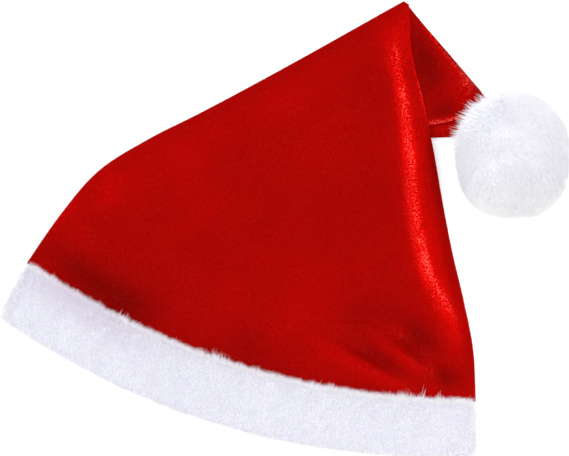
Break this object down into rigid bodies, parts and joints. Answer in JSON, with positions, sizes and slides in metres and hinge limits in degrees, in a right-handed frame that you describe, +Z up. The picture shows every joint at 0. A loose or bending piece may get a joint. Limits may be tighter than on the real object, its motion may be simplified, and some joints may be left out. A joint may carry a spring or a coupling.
{
  "type": "folded plush-trimmed santa hat",
  "caption": "Soft cone hat in red velour laid flat, its pointed end folded out to one side, with a white plush band round the hem and a fluffy pompom.",
  "frame": {"origin": "middle of the flat-laid hat's footprint, on the surface that it lies on", "axes": "+Z up from that surface, +Y from the hem towards the folded corner, +X towards the pompom"},
  "size_m": [0.34, 0.2725, 0.0641],
  "materials": {
    "velour": "deep red satin-backed velour with a short shiny nap",
    "plush": "soft white long-pile plush"
  },
  "bodies": {
    "root": {"crown_front": "velour", "crown_back": "velour", "tip_upper": "velour", "tip_lower": "velour", "band": "plush", "pompom": "plush"}
  },
  "joints": []
}
